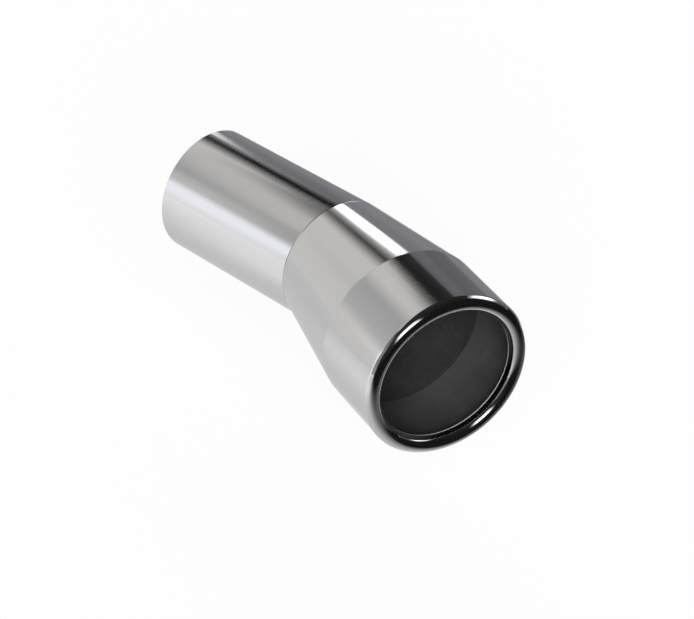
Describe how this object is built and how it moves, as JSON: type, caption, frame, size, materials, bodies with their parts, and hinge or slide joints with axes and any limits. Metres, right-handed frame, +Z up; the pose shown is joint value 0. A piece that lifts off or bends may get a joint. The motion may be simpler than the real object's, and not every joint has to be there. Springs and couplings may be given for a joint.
{
  "type": "exhaust tip",
  "caption": "Polished steel exhaust tip: a straight round inlet tube mitred into a flared, angled round outlet with a rolled-in lip and a dark inside.",
  "frame": {"origin": "centre of the inlet tube's open end, on the bore's axis", "axes": "+X along the inlet tube towards the bend, +Z up; the bend is level and turns the outlet towards -Y"},
  "size_m": [0.2073, 0.1023, 0.084],
  "materials": {
    "polished_tube": "mirror polished stainless steel outside",
    "polished_shell": "mirror polished stainless steel outside",
    "dark_inside": "matt black high-temperature coating inside"
  },
  "bodies": {
    "root": {"inlet_tube": "polished_tube", "outlet_shell": "polished_shell"}
  },
  "joints": []
}
